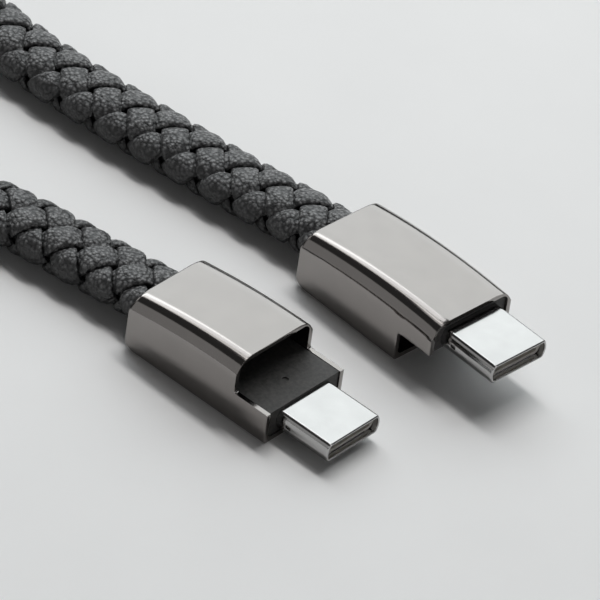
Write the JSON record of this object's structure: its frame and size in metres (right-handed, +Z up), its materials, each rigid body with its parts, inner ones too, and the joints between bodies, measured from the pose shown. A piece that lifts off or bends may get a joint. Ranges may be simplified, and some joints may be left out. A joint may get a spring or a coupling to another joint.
{
  "type": "charging cable",
  "caption": "Flat braided leather bracelet cable with a reversible charging plug in a stepped metal housing at each end; the ends close into a loop.",
  "frame": {"origin": "on the surface that the cable lies on, under the middle of the box round the two ends without the cord", "axes": "+X is the way the plugs point, +Y runs from the ledge end to the tongue end, +Z is up"},
  "size_m": [0.1117, 0.0488, 0.0079],
  "materials": {
    "housing_metal": "dark gunmetal plating, polished",
    "insert_plastic": "fine spark-eroded texture",
    "plug_steel": "bright nickel-plated drawn steel",
    "insulator_plastic": "glass-filled polymer",
    "contact_gold": "gold flash",
    "spring_steel": "stamped",
    "board_laminate": "solder mask",
    "chip_epoxy": "moulded epoxy",
    "wire_insulation": "extruded",
    "clamp_brass": "pressed foil",
    "potting_glue": "set glue",
    "braid_leather": "pebbled, braided flat strips",
    "jacket_rubber": "extruded"
  },
  "bodies": {
    "cable": {"ledge_end_shell": "housing_metal", "ledge_end_insert": "insert_plastic", "ledge_end_plug_shell": "plug_steel", "ledge_end_plug_insulator": "insulator_plastic", "ledge_end_upper_contacts": "contact_gold", "ledge_end_lower_contacts": "contact_gold", "ledge_end_ground_pads": "spring_steel", "ledge_end_circuit_board": "board_laminate", "ledge_end_board_chips": "chip_epoxy", "ledge_end_wire_tails": "wire_insulation", "ledge_end_cord_clamp": "clamp_brass", "ledge_end_potting": "potting_glue", "tongue_end_shell": "housing_metal", "tongue_end_insert": "insert_plastic", "tongue_end_plug_shell": "plug_steel", "tongue_end_plug_insulator": "insulator_plastic", "tongue_end_upper_contacts": "contact_gold", "tongue_end_lower_contacts": "contact_gold", "tongue_end_ground_pads": "spring_steel", "tongue_end_circuit_board": "board_laminate", "tongue_end_board_chips": "chip_epoxy", "tongue_end_wire_tails": "wire_insulation", "tongue_end_cord_clamp": "clamp_brass", "tongue_end_potting": "potting_glue", "braided_sleeve": "braid_leather", "cable_jacket": "jacket_rubber", "cable_wires": "wire_insulation"},
    "ledge_end_left_latch": {"ledge_end_left_latch": "spring_steel"},
    "ledge_end_right_latch": {"ledge_end_right_latch": "spring_steel"},
    "tongue_end_left_latch": {"tongue_end_left_latch": "spring_steel"},
    "tongue_end_right_latch": {"tongue_end_right_latch": "spring_steel"}
  },
  "joints": [
    {"name": "ledge_end_left_latch_flex", "type": "hinge", "parent": "cable", "child": "ledge_end_left_latch", "pos_m": [0.00121, -0.00743, 0.0022], "axis": [0, 0, 1], "range_deg": [0, 1.8], "stiffness_Nm_per_rad": 0.02},
    {"name": "ledge_end_right_latch_flex", "type": "hinge", "parent": "cable", "child": "ledge_end_right_latch", "pos_m": [0.00121, -0.01439, 0.0022], "axis": [0, 0, 1], "range_deg": [-1.8, 0], "stiffness_Nm_per_rad": 0.02},
    {"name": "tongue_end_left_latch_flex", "type": "hinge", "parent": "cable", "child": "tongue_end_left_latch", "pos_m": [0.00623, 0.01315, 0.00525], "axis": [0, 0, 1], "range_deg": [0, 1.8], "stiffness_Nm_per_rad": 0.02},
    {"name": "tongue_end_right_latch_flex", "type": "hinge", "parent": "cable", "child": "tongue_end_right_latch", "pos_m": [0.00571, 0.00622, 0.00525], "axis": [0, 0, 1], "range_deg": [-1.8, 0], "stiffness_Nm_per_rad": 0.02}
  ]
}
